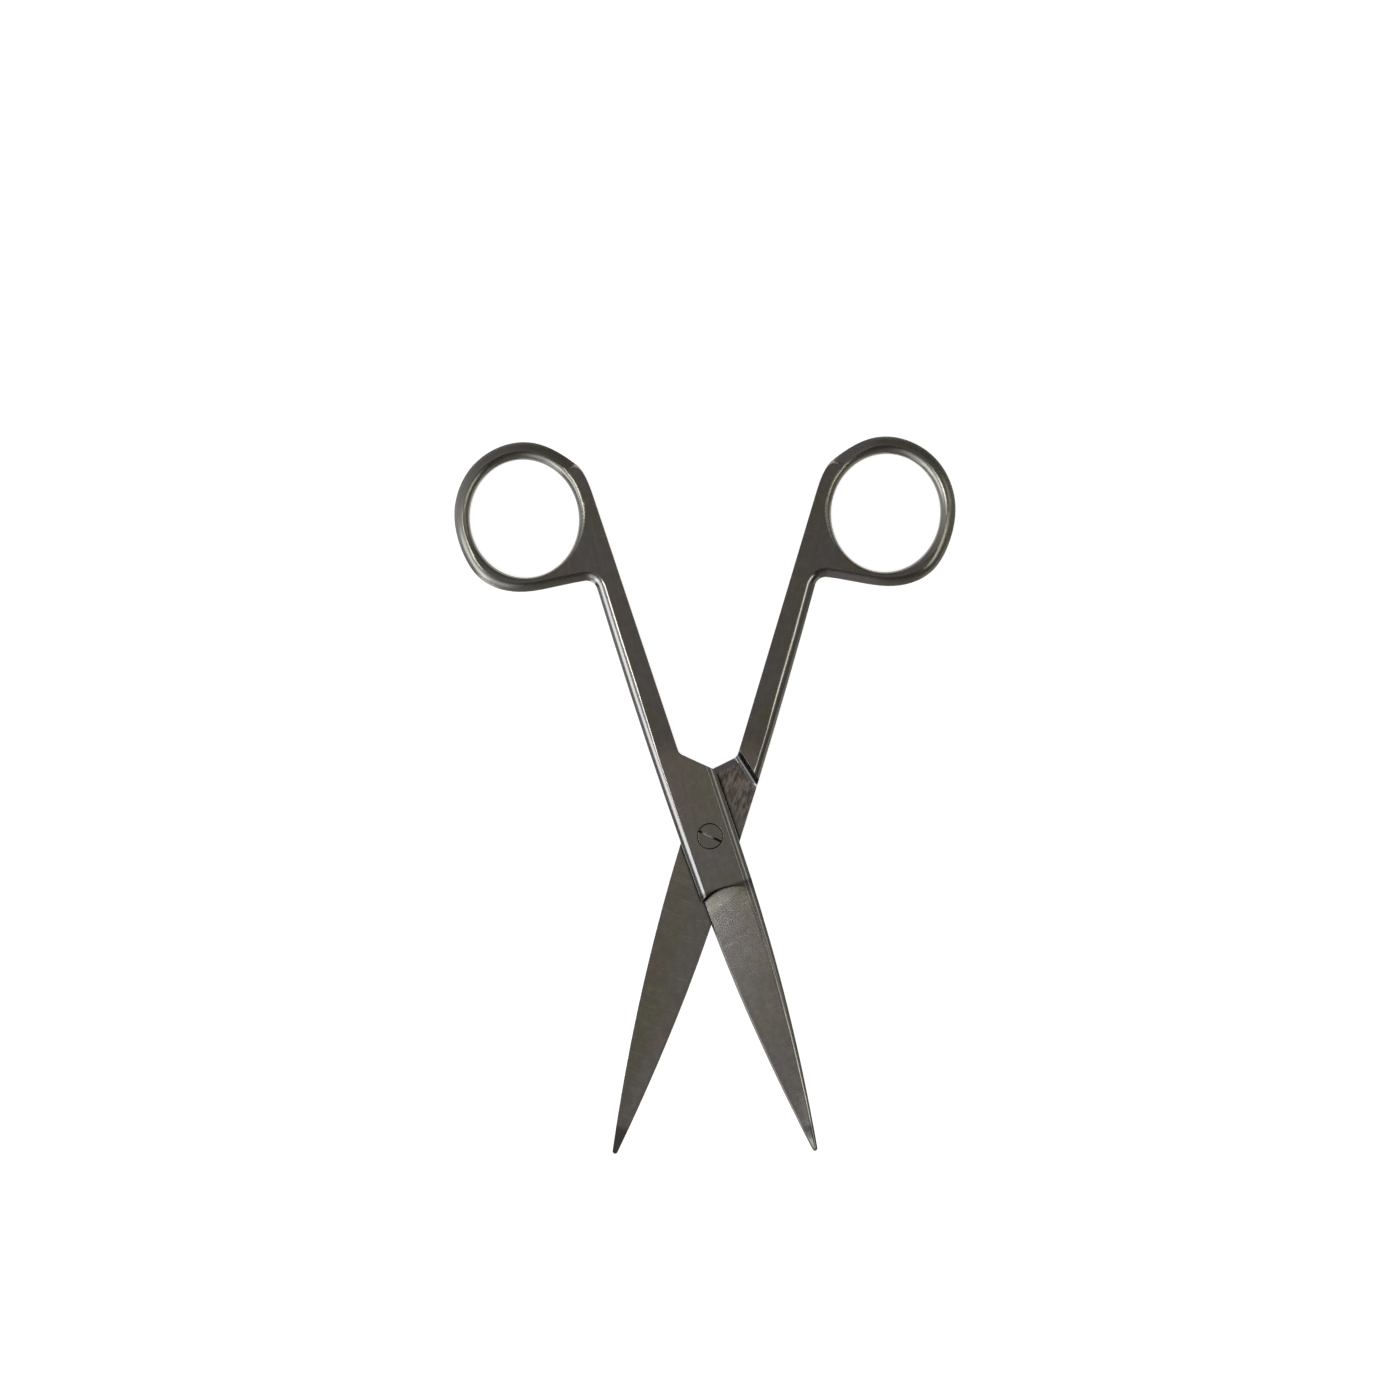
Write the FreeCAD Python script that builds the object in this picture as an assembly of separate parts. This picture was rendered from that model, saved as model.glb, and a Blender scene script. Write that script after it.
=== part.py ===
import FreeCAD, Part

import math
import os

from FreeCAD import Rotation, Vector

# Straight operating scissors with two sharp tips: two stainless forgings that lap over
# each other at a screw joint. Lengths are in millimetres and angles in degrees.
# Each half is drawn in its own frame: the pivot at the origin, the finger ring towards +Y
# on the -X side, the tip towards -Y, the cutting edge on the -X side, the lap plane at
# Z = 0 and the outer face towards +Z. The finished pair lies flat, with the pivot axis
# through the origin, the rings towards +Y and the lower half's outer face on Z = 0.

# How far the pair stands open, between the centre lines of the halves
OPENING_ANGLE = 35.1

# Each half's joint plate, and the running gap between the two lap faces
PLATE_THICKNESS = 2.3
LAP_CLEARANCE = 0.06

# Beyond the joint both faces slope in towards the ring
HANDLE_TAPER_ANGLE = 0.3
HANDLE_TAPER_START = 34.0

# Finger ring: an oval hole, and the band round it by direction from +X, in degrees
RING_CENTRE_X = -14.42
RING_CENTRE_Y = 68.48
FINGER_HOLE_WIDTH = 20.8
FINGER_HOLE_LENGTH = 22.5
FINGER_HOLE_LEAN = 10.0
BAND_WIDTHS = {268: 2.75, 240: 2.95, 212: 3.35, 180: 2.8, 150: 2.95, 120: 3.1, 90: 3.2, 60: 3.3, 30: 3.45}
HOLE_ROUND = 1.5
HOLE_ROUND_SWING = 1.0
HOLE_ROUND_DEPTH = 1.3

# Shank: one crisp side towards the other shank, one bowed side with a rounded bevel
HANDLE_SIDE_X = -0.62
SHANK_CROWN_X = -5.88
SHANK_CROWN_Y = 21.0
SHANK_BOW_RADIUS = 1150.0
CROTCH_Y = 51.5
CROTCH_RADIUS = 2.1
CROTCH_ARC_ANGLE = 80.0
BEVEL_WIDTH = 1.9
BEVEL_INNER_TILT = 10.0
BEVEL_OUTER_TILT = 43.0
BEVEL_FULL_FROM = 30.0
BEVEL_GONE_AT = 0.0

# Joint plate
UPPER_PLATE_TOP = 16.8
LOWER_PLATE_TOP = 15.9
PLATE_TOP_SLOPE = 43.0
PLATE_ROOT_ROUND = 1.5
PLATE_CORNER_ROUND = 0.8
PLATE_END = 9.95
PLATE_END_BULGE_RADIUS = 8.2
PLATE_END_BULGE_X = -1.1
PLATE_END_WALL_TILT = 17.0
HEEL_Y = -11.4
LAP_EDGE_CHAMFER = 1.2
LAP_EDGE_TILT = 38.0

# Shoulder where the full shank steps down to the lap face
SHOULDER_TOP = 17.4
SHOULDER_SLOPE = 41.0
SHOULDER_ROOT_ROUND = 1.8

# Blade: back and cutting edge are long arcs of one radius that meet at the tip
BLADE_RADIUS = 384.0
BACK_CROWN_X = 4.95
BACK_CROWN_Y = -5.2
EDGE_CROWN_X = -5.4
EDGE_CROWN_Y = -0.9
TIP_RADIUS = 0.5
RIDGE_HEIGHT_AT_TIP = 0.75
EDGE_THICKNESS = 0.45
CUTTING_BEVEL_WIDTH = 0.33
CUTTING_EDGE_LAND = 0.07
BACK_BEVEL_WIDTH = 1.7
BACK_BEVEL_WIDTH_AT_TIP = 0.42
BACK_BEVEL_INNER_TILT = 10.0
BACK_BEVEL_OUTER_TILT = 42.0
HOLLOW_DEPTH = 0.1
HOLLOW_DEPTH_AT_ENDS = 0.01
HOLLOW_LAND = 0.3
HOLLOW_START = -12.5
HOLLOW_END = -57.0

# Joint screw
SCREW_HEAD_DIAMETER = 4.8
SCREW_HEAD_HEIGHT = 1.15
SCREW_BEARING_DIAMETER = 3.2
SCREW_THREAD_DIAMETER = 2.8
SCREW_SLOT_WIDTH = 0.45
SCREW_SLOT_DEPTH = 0.5
SCREW_SLOT_ANGLE = -26.5
SCREW_EDGE_BREAK = 0.12
SCREW_END_RECESS = 0.05
HEAD_CLEARANCE = 0.08
RUNNING_CLEARANCE = 0.03
THREAD_CLEARANCE = 0.01

# How finely lofts and splines are drawn
ROUND_STEPS = 6
BLADE_STATIONS = 6

# How far a cutting tool runs past the metal
PAST = 4.0

UP = Vector(0, 0, 1)
LAP_FACE = LAP_CLEARANCE / 2


def arc(start, through, end):
    return Part.Arc(start, through, end).toShape()


def circle_point(centre, radius, angle):
    turn = math.radians(angle)
    return centre + Vector(radius * math.cos(turn), radius * math.sin(turn), 0)


def rounded_corner(before, corner, after, radius):
    """The arc that rounds the corner between two straight lines."""
    arrive = (before - corner).normalize()
    leave = (after - corner).normalize()
    half_angle = arrive.getAngle(leave) / 2
    reach = radius / math.tan(half_angle)
    centre = corner + (arrive + leave).normalize() * (radius / math.sin(half_angle))
    middle = centre + (corner - centre).normalize() * radius
    return arc(corner + arrive * reach, middle, corner + leave * reach)


def back_x(y):
    """The blade's back: straight beside the joint, then the long arc."""
    run = min(y - BACK_CROWN_Y, 0.0)
    return BACK_CROWN_X - BLADE_RADIUS + math.sqrt(BLADE_RADIUS ** 2 - run ** 2)


def edge_x(y):
    """The cutting edge: the same long arc, bowed the other way."""
    run = y - EDGE_CROWN_Y
    return EDGE_CROWN_X + BLADE_RADIUS - math.sqrt(BLADE_RADIUS ** 2 - run ** 2)


def tip_centre():
    """The centre of the small arc that touches both long arcs at the tip."""
    back_centre = Vector(BACK_CROWN_X - BLADE_RADIUS, BACK_CROWN_Y, 0)
    edge_centre = Vector(EDGE_CROWN_X + BLADE_RADIUS, EDGE_CROWN_Y, 0)
    across = edge_centre - back_centre
    reach = math.sqrt((BLADE_RADIUS - TIP_RADIUS) ** 2 - (across.Length / 2) ** 2)
    down = Vector(across.y, -across.x, 0).normalize()
    return back_centre + across / 2 + down * reach


def touch_point(arc_centre, small_centre):
    """Where the tip's small arc touches the long arc round arc_centre."""
    return arc_centre + (small_centre - arc_centre).normalize() * BLADE_RADIUS


def ring_point(direction, beyond):
    """A point outside the finger hole's oval, square to it."""
    turn = math.radians(direction + FINGER_HOLE_LEAN)
    half_width = FINGER_HOLE_WIDTH / 2
    half_length = FINGER_HOLE_LENGTH / 2
    on_hole = Vector(half_width * math.cos(turn), half_length * math.sin(turn), 0)
    square = Vector(half_length * math.cos(turn), half_width * math.sin(turn), 0).normalize()
    lean = Rotation(UP, -FINGER_HOLE_LEAN)
    return Vector(RING_CENTRE_X, RING_CENTRE_Y, 0) + lean.multVec(on_hole + square * beyond)


def bevel_share(direction):
    """The bevel fades out where the ring turns towards the other ring."""
    share = (direction - BEVEL_GONE_AT) / (BEVEL_FULL_FROM - BEVEL_GONE_AT)
    return min(max(share, 0.0), 1.0)


def outline(inset, height, plate_top):
    """The closed outline of one half, drawn smaller by inset on its bevelled side."""
    tip = tip_centre()
    tip_edge = touch_point(Vector(EDGE_CROWN_X + BLADE_RADIUS, EDGE_CROWN_Y, 0), tip)
    tip_back = touch_point(Vector(BACK_CROWN_X - BLADE_RADIUS, BACK_CROWN_Y, 0), tip)
    tip_end = tip + Vector(0, -TIP_RADIUS, 0)

    bow_centre = Vector(SHANK_CROWN_X + SHANK_BOW_RADIUS, SHANK_CROWN_Y, 0)
    bow_radius = SHANK_BOW_RADIUS - inset
    heel_run = HEEL_Y - SHANK_CROWN_Y
    heel = Vector(bow_centre.x - math.sqrt(bow_radius ** 2 - heel_run ** 2), HEEL_Y, 0)
    middle_y = (tip_edge.y + HEEL_Y) / 2
    edge_middle = Vector(edge_x(middle_y) + inset / 2, middle_y, 0)

    reach = SHANK_BOW_RADIUS + CROTCH_RADIUS
    crotch_run = CROTCH_Y - SHANK_CROWN_Y
    crotch = Vector(bow_centre.x - math.sqrt(reach ** 2 - crotch_run ** 2), CROTCH_Y, 0)
    crotch_radius = CROTCH_RADIUS + inset
    crotch_start = crotch + (bow_centre - crotch).normalize() * crotch_radius
    crotch_middle = circle_point(crotch, crotch_radius, CROTCH_ARC_ANGLE / 2)
    crotch_end = circle_point(crotch, crotch_radius, CROTCH_ARC_ANGLE)

    bow_crown = Vector(SHANK_CROWN_X + inset, SHANK_CROWN_Y, 0)
    ring_end = Vector(HANDLE_SIDE_X, RING_CENTRE_Y, 0)
    band = [ring_point(way, width - inset * bevel_share(way)) for way, width in BAND_WIDTHS.items()]
    points = [crotch_end] + band + [ring_end]
    leave = circle_point(Vector(0, 0, 0), (points[1] - points[0]).Length, CROTCH_ARC_ANGLE + 90)
    arrive = Vector(0, -(points[-1] - points[-2]).Length, 0)
    ring = Part.BSplineCurve()
    ring.interpolate(points, Parameters=list(range(len(points))), InitialTangent=leave, FinalTangent=arrive)

    root = Vector(HANDLE_SIDE_X, plate_top, 0)
    fall = (BACK_CROWN_X - HANDLE_SIDE_X) * math.tan(math.radians(PLATE_TOP_SLOPE))
    corner = Vector(BACK_CROWN_X, plate_top - fall, 0)
    back_crown = Vector(BACK_CROWN_X, BACK_CROWN_Y, 0)
    root_arc = rounded_corner(ring_end, root, corner, PLATE_ROOT_ROUND)
    corner_arc = rounded_corner(root, corner, back_crown, PLATE_CORNER_ROUND)
    back_middle_y = (BACK_CROWN_Y + tip_back.y) / 2

    edges = [
        arc(tip_edge, edge_middle, heel),
        arc(heel, bow_crown, crotch_start),
        arc(crotch_start, crotch_middle, crotch_end),
        ring.toShape(),
        Part.makeLine(ring_end, root_arc.Vertexes[0].Point),
        root_arc,
        Part.makeLine(root_arc.Vertexes[-1].Point, corner_arc.Vertexes[0].Point),
        corner_arc,
        Part.makeLine(corner_arc.Vertexes[-1].Point, back_crown),
        arc(back_crown, Vector(back_x(back_middle_y), back_middle_y, 0), tip_back),
        arc(tip_back, tip_end, tip_edge),
    ]
    wire = Part.Wire(edges)
    wire.translate(UP * height)
    if height > 0:
        wire.rotate(Vector(0, HANDLE_TAPER_START, height), Vector(1, 0, 0), -HANDLE_TAPER_ANGLE)
    return wire


def forging(plate_top):
    """The whole forging before the joint and blade are ground: both faces alike."""
    rows = round_bevel(BEVEL_WIDTH, BEVEL_INNER_TILT, BEVEL_OUTER_TILT)
    wires = [outline(BEVEL_WIDTH - out, PLATE_THICKNESS - down, plate_top) for out, down in reversed(rows)]
    face = Part.makeLoft(wires, True, True)
    bevel_foot = PLATE_THICKNESS - rows[-1][1]
    flank = Part.makeLoft([outline(0.0, 0.0, plate_top), outline(0.0, bevel_foot, plate_top)], True, True)
    middle = Vector(0, 0, 0)
    body = flank.fuse([face, flank.mirror(middle, UP), face.mirror(middle, UP)])
    size = 2 * (RING_CENTRE_Y + FINGER_HOLE_LENGTH)
    slab = Part.makeBox(size, size, 2 * PLATE_THICKNESS, Vector(-size / 2, -size / 2, -PLATE_THICKNESS))
    return body.common(slab)


def oval(share, height):
    """The finger hole's outline, widened and shifted by a share of its rim's round."""
    half_width = FINGER_HOLE_WIDTH / 2 + HOLE_ROUND * share
    half_length = FINGER_HOLE_LENGTH / 2 + HOLE_ROUND * share
    longer_way = 90 if half_length > half_width else 0
    curve = Part.Ellipse(Vector(0, 0, 0), max(half_length, half_width), min(half_length, half_width))
    wire = Part.Wire(curve.toShape())
    wire.rotate(Vector(0, 0, 0), UP, longer_way - FINGER_HOLE_LEAN)
    wire.translate(Vector(RING_CENTRE_X, RING_CENTRE_Y + HOLE_ROUND_SWING * share, height))
    return wire


def finger_hole():
    """The oval hole: its rim is rounded most at the top of the ring and least beside the web."""
    foot = PLATE_THICKNESS - handle_slope(RING_CENTRE_Y) - HOLE_ROUND_DEPTH
    wires = []
    for step in range(ROUND_STEPS + 1):
        turn = math.radians(90 * step / ROUND_STEPS)
        wires.append(oval(1 - math.cos(turn), foot + HOLE_ROUND_DEPTH * math.sin(turn)))
    rim = Part.makeLoft(wires, True, True)
    mouth = Part.Face(wires[-1]).extrude(UP * PAST)
    bore = Part.Face(oval(0.0, -foot)).extrude(UP * 2 * foot)
    middle = Vector(0, 0, 0)
    return bore.fuse([rim, mouth, rim.mirror(middle, UP), mouth.mirror(middle, UP)])


def handle_slope(y):
    """How far the sloping handle face lies below the plate's face at one Y."""
    return (y - HANDLE_TAPER_START) * math.tan(math.radians(HANDLE_TAPER_ANGLE))


def tip_end_y():
    return tip_centre().y - TIP_RADIUS


def along_blade(y):
    """0 where the blade leaves the plate, 1 at the tip."""
    return (-PLATE_END - y) / (-PLATE_END - tip_end_y())


def ridge(y):
    """The line where the outer grind meets the back bevel: its X and its Z."""
    share = along_blade(y)
    width = BACK_BEVEL_WIDTH + (BACK_BEVEL_WIDTH_AT_TIP - BACK_BEVEL_WIDTH) * share
    height = PLATE_THICKNESS + (RIDGE_HEIGHT_AT_TIP - PLATE_THICKNESS) * share
    return back_x(y) - width, height


def round_bevel(width, inner_tilt, outer_tilt):
    """A convex bevel's arc: rows of how far out, how far down, from its inner edge."""
    inner = math.radians(inner_tilt)
    outer = math.radians(outer_tilt)
    radius = width / (math.sin(outer) - math.sin(inner))
    rows = []
    for step in range(ROUND_STEPS + 1):
        tilt = inner + (outer - inner) * step / ROUND_STEPS
        out = radius * (math.sin(tilt) - math.sin(inner))
        down = radius * (math.cos(inner) - math.cos(tilt))
        rows.append((out, down))
    return rows


def stations(start, end, count):
    return [start + (end - start) * step / (count - 1) for step in range(count)]


def lofted_cutter(rows, profile):
    """A cutter whose section changes along the blade; profile gives its XZ corners at one Y."""
    wires = []
    for y in rows:
        corners = [Vector(x, y, z) for x, z in profile(y)]
        wires.append(Part.makePolygon(corners + corners[:1]))
    return Part.makeLoft(wires, True, False)


def outer_grind(y):
    """Above the blade's sloping outer face, from the cutting edge up to the ridge."""
    ridge_x, ridge_z = ridge(y)
    rise = (ridge_z - EDGE_THICKNESS) / (ridge_x - edge_x(y))
    top = PLATE_THICKNESS + 2 * PAST
    left = edge_x(y) - PAST / 4
    right = back_x(y) + PAST / 4
    left_z = EDGE_THICKNESS - rise * PAST / 4
    right_z = ridge_z + rise * (right - ridge_x)
    return (left, left_z), (right, right_z), (right, top), (left, top)


def cutting_bevel(y):
    """The narrow steep bevel that makes the cutting edge."""
    ridge_x, ridge_z = ridge(y)
    rise = (ridge_z - EDGE_THICKNESS) / (ridge_x - edge_x(y))
    steep = (EDGE_THICKNESS + rise * CUTTING_BEVEL_WIDTH - CUTTING_EDGE_LAND) / CUTTING_BEVEL_WIDTH
    left = edge_x(y) - CUTTING_BEVEL_WIDTH
    right = edge_x(y) + 2 * CUTTING_BEVEL_WIDTH
    left_z = CUTTING_EDGE_LAND - steep * CUTTING_BEVEL_WIDTH
    right_z = CUTTING_EDGE_LAND + steep * 2 * CUTTING_BEVEL_WIDTH
    return (left, left_z), (right, right_z), (left, right_z)


def back_bevel(y):
    """The rounded bevel along the blade's back."""
    ridge_x, ridge_z = ridge(y)
    past = PAST / 4
    rows = round_bevel(back_x(y) - ridge_x, BACK_BEVEL_INNER_TILT, BACK_BEVEL_OUTER_TILT)
    arc_points = [(ridge_x + out, ridge_z - down) for out, down in rows]
    last_x, last_z = arc_points[-1]
    start = (ridge_x - past, ridge_z + past * math.tan(math.radians(BACK_BEVEL_INNER_TILT)))
    end = (last_x + past, last_z - past * math.tan(math.radians(BACK_BEVEL_OUTER_TILT)))
    top = PLATE_THICKNESS + 2 * PAST
    return [start] + arc_points + [end, (end[0], top), (start[0], top)]


def plate_back_bevel(y):
    """The same bevel beside the joint, where the plate is level."""
    level = []
    for x, z in back_bevel(-PLATE_END):
        level.append((x - back_x(-PLATE_END) + back_x(y), z))
    return level


def blade_cutters():
    """Everything that is ground off the blade and the plate's back."""
    end = tip_end_y()
    start = -PLATE_END
    grind = lofted_cutter(stations(start + PAST, end, BLADE_STATIONS), outer_grind)
    bulge_y = start - PLATE_END_BULGE_RADIUS
    lean = math.tan(math.radians(PLATE_END_WALL_TILT))
    foot_radius = PLATE_END_BULGE_RADIUS - PLATE_THICKNESS * lean
    top_radius = foot_radius + 3 * PAST * lean
    bulge = Part.makeCone(foot_radius, top_radius, 3 * PAST, Vector(PLATE_END_BULGE_X, bulge_y, 0))
    width = 2 * PLATE_END_BULGE_RADIUS
    length = bulge_y - end
    blade = Part.makeBox(width, length, 3 * PAST, Vector(PLATE_END_BULGE_X - width / 2, end, 0))
    cutters = [grind.common(bulge.fuse(blade))]
    cutters.append(lofted_cutter(stations(HEEL_Y, end, BLADE_STATIONS), cutting_bevel))
    cutters.append(lofted_cutter(stations(start, end, BLADE_STATIONS), back_bevel))
    cutters.append(lofted_cutter([UPPER_PLATE_TOP, BACK_CROWN_Y, start], plate_back_bevel))
    return cutters


def hollow_cutter():
    """The hollow grind of the lap face, so that the blades touch at their edges only."""
    wires = []
    for y in stations(HOLLOW_START, HOLLOW_END, BLADE_STATIONS):
        share = (y - HOLLOW_START) / (HOLLOW_END - HOLLOW_START)
        depth = HOLLOW_DEPTH_AT_ENDS + (HOLLOW_DEPTH - HOLLOW_DEPTH_AT_ENDS) * math.sin(math.pi * share)
        middle = (edge_x(y) + back_x(y)) / 2
        half_width = (back_x(y) - edge_x(y)) / 2 - HOLLOW_LAND
        radius = (half_width ** 2 + depth ** 2) / (2 * depth)
        reach = half_width + HOLLOW_LAND
        top = LAP_FACE + depth
        foot = top - radius + math.sqrt(radius ** 2 - reach ** 2)
        start = Vector(middle - reach, y, foot)
        end = Vector(middle + reach, y, foot)
        wires.append(Part.Wire([arc(start, Vector(middle, y, top), end), Part.makeLine(end, start)]))
    return Part.makeLoft(wires, True, False)


def lap_cutters(plate_top):
    """What is milled away below the lap face, up to the shoulder, and the chamfer opposite it."""
    size = RING_CENTRE_Y * 2
    shoulder = Part.makeBox(size, size, size, Vector(-size / 2, -size, LAP_FACE - size))
    wall = edge_near(shoulder, Vector(0, 0, LAP_FACE))
    shoulder = shoulder.makeFillet(SHOULDER_ROOT_ROUND, [wall])
    shoulder.rotate(Vector(0, 0, 0), UP, SHOULDER_SLOPE)
    shoulder.translate(Vector(HANDLE_SIDE_X, SHOULDER_TOP, 0))

    chamfer = LAP_EDGE_CHAMFER
    rise = (chamfer + PAST) * math.tan(math.radians(LAP_EDGE_TILT))
    corners = [Vector(0, PAST, 0), Vector(0, -chamfer, 0), Vector(0, PAST, rise)]
    reach = 2 * (BACK_CROWN_X - HANDLE_SIDE_X)
    wedge = Part.Face(Part.makePolygon(corners + corners[:1])).extrude(Vector(reach, 0, 0))
    wedge.rotate(Vector(0, 0, 0), UP, -PLATE_TOP_SLOPE)
    wedge.translate(Vector(HANDLE_SIDE_X, plate_top, LAP_FACE))
    return [shoulder, wedge]


def edge_near(shape, point):
    """The edge of shape that passes nearest to a point."""
    spot = Part.Vertex(point)
    return min(shape.Edges, key=lambda edge: edge.distToShape(spot)[0])


def half(plate_top):
    """One half without its screw hole."""
    body = forging(plate_top).cut(finger_hole())
    body = body.cut(lap_cutters(plate_top))
    body = body.cut(blade_cutters())
    return body.cut(hollow_cutter())


def disc(diameter, low, high):
    """A round bar on the pivot axis between two heights."""
    return Part.makeCylinder(diameter / 2, high - low, Vector(0, 0, low))


def upper_half():
    """The half that lies on top: it turns on the screw's bearing, under the sunk head."""
    seat = PLATE_THICKNESS - SCREW_HEAD_HEIGHT - RUNNING_CLEARANCE
    bore = disc(SCREW_BEARING_DIAMETER + 2 * RUNNING_CLEARANCE, -PAST, PLATE_THICKNESS + PAST)
    sink = disc(SCREW_HEAD_DIAMETER + 2 * HEAD_CLEARANCE, seat, PLATE_THICKNESS + PAST)
    body = half(UPPER_PLATE_TOP).cut([bore, sink])
    body.rotate(Vector(0, 0, 0), UP, OPENING_ANGLE / 2)
    body.translate(UP * PLATE_THICKNESS)
    return body


def lower_half():
    """The same form turned over; the screw's thread is held in it."""
    hole = disc(SCREW_THREAD_DIAMETER + 2 * THREAD_CLEARANCE, -PAST, PLATE_THICKNESS + PAST)
    body = half(LOWER_PLATE_TOP).cut(hole)
    body.rotate(Vector(0, 0, 0), Vector(0, 1, 0), 180)
    body.rotate(Vector(0, 0, 0), UP, -OPENING_ANGLE / 2)
    body.translate(UP * PLATE_THICKNESS)
    return body


def joint_screw():
    """Slotted head, plain bearing and thread core, on the pivot axis."""
    top = 2 * PLATE_THICKNESS
    under_head = top - SCREW_HEAD_HEIGHT
    shoulder = PLATE_THICKNESS - LAP_FACE
    head = disc(SCREW_HEAD_DIAMETER, under_head, top)
    rim = edge_near(head, Vector(-SCREW_HEAD_DIAMETER / 2, 0, top))
    head = head.makeChamfer(SCREW_EDGE_BREAK, [rim])
    bearing = disc(SCREW_BEARING_DIAMETER, shoulder, under_head)
    thread = disc(SCREW_THREAD_DIAMETER, SCREW_END_RECESS, shoulder)
    foot = edge_near(thread, Vector(-SCREW_THREAD_DIAMETER / 2, 0, SCREW_END_RECESS))
    thread = thread.makeChamfer(SCREW_EDGE_BREAK, [foot])
    length = SCREW_HEAD_DIAMETER + PAST
    half_width = SCREW_SLOT_WIDTH / 2
    floor_height = top - SCREW_SLOT_DEPTH + half_width
    slot = Part.makeBox(length, SCREW_SLOT_WIDTH, PAST, Vector(-length / 2, -half_width, floor_height))
    end = Vector(-length / 2, 0, floor_height)
    slot = slot.fuse(Part.makeCylinder(half_width, length, end, Vector(1, 0, 0)))
    slot.rotate(Vector(0, 0, 0), UP, SCREW_SLOT_ANGLE)
    return head.fuse([bearing, thread]).removeSplitter().cut(slot)


def main():
    os.makedirs("parts", exist_ok=True)
    parts = {"upper_half": upper_half(), "lower_half": lower_half(), "joint_screw": joint_screw()}
    for name, shape in parts.items():
        solid = shape.Solids[0]
        solid.exportStep("parts/" + name + ".step")
        print(name, len(shape.Solids), solid.isValid(), round(solid.Volume, 2), len(solid.Faces))


if __name__ == "__main__":
    main()
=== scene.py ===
import math

import bmesh
import bpy
from bpy.props import FloatProperty, FloatVectorProperty, PointerProperty
from bpy.types import Operator, Panel, PropertyGroup
from mathutils import Matrix, Vector


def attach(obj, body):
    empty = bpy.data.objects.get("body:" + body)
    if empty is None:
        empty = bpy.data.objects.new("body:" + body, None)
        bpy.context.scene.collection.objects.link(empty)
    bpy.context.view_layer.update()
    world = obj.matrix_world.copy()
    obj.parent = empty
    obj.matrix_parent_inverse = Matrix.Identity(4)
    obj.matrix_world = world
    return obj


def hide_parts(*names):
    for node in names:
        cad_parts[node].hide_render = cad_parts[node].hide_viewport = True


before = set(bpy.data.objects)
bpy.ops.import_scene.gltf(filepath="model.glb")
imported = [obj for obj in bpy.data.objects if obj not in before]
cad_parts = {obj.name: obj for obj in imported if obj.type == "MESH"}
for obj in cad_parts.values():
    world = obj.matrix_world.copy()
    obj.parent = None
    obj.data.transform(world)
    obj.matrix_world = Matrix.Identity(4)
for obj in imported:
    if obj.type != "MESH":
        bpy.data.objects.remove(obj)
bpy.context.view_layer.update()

bl_info = {
    "name": "Operating scissors",
    "version": (1, 0, 0),
    "blender": (4, 5, 0),
    "location": "View3D > Sidebar > Scissors",
    "description": "Ground, satin and polished finishes for a pair of straight operating scissors",
    "category": "Object",
}

MM = 0.001

# Half the opening of the pair at rest: the upper half is turned this way, the lower half the other
HALF_OPENING = math.radians(17.55)

# The height of the lap faces, where the two halves meet
LAP_HEIGHT = 2.3 * MM

# The camera looks straight down on this point, with the frame this wide at the lap height
VIEW_CENTRE = Vector((-1.5 * MM, 25.9 * MM, LAP_HEIGHT))
VIEW_WIDTH = 266.6 * MM
VIEW_DISTANCE = 0.9
VIEW_ROLL = math.radians(-0.9)
SENSOR_WIDTH = 36
CLIP_START = 0.01

# Corners closer than this are one corner, and faces that meet at less than this angle are one
SAME_CORNER = 0.0005 * MM
SAME_FACE = math.radians(0.25)

# How much more a wide face counts than a narrow one in the shading of a corner they share
WIDE_FACE_WEIGHT = 100

# Along a half, in millimetres from the pivot towards the tip: where a part of it begins and from
# where on it is there in full
TOWARDS_TIP = {"blade": (9.6, 10.4), "past heel": (10.0, 13.5), "tip": (57.2, 58.7)}

# The same towards the ring
TOWARDS_RING = {"past root": (2.0, 8.0), "shank": (15.0, 21.0), "ring": (52.0, 56.0)}

# In millimetres: the middle of the sloped shoulder, its reach to each side, and how near to the
# lap height a flat has to lie to be a lap face
SHOULDER = 16.0
SHOULDER_REACH = 4.0
LAP_REACH = 0.25

# How high a face's direction points, from 0 to 1: from here on it is a ground flat
LEVEL = 0.9935
LEVEL_ON_BLADE = 0.955

# The same for steep walls, which end at the first value, and open faces, which begin at the second
OPEN = (0.6, 0.8)

# How far a face's direction leans to the blade's back and to the tip: where that begins to count
# and where it counts in full
TO_BACK = (0.04, 0.12)
TO_TIP = (0.1, 0.3)

# Fine grinding lines: how many to the millimetre, across them and along them
GRAIN_SCALES = ((2.6, 0.10), (7.0, 0.25))

# Patches of colour: how many to the millimetre, and a shift that sets them apart
PATCHES = {"olive": (0.16, 0.0), "brown": (0.11, 40.0), "cloud": (0.9, 80.0)}
PATCH_STRETCH = (1.0, 0.6, 1.0)
BROWN_SHARE = 0.8

# Scratches: their direction, and how many to the millimetre across them and along them
SCRATCHES = ((0.5, 2.4, 0.16), (-0.9, 3.1, 0.22), (1.3, 2.0, 0.12))

# Directions of the grinding lines and of the stains, turned from a half's X axis
SHANK_GRAIN = math.radians(97)
BLADE_GRAIN = math.radians(-12)
STAIN_RUN = math.radians(35)
STAIN_STRETCH = (1.7, 0.45, 1.0)

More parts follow.
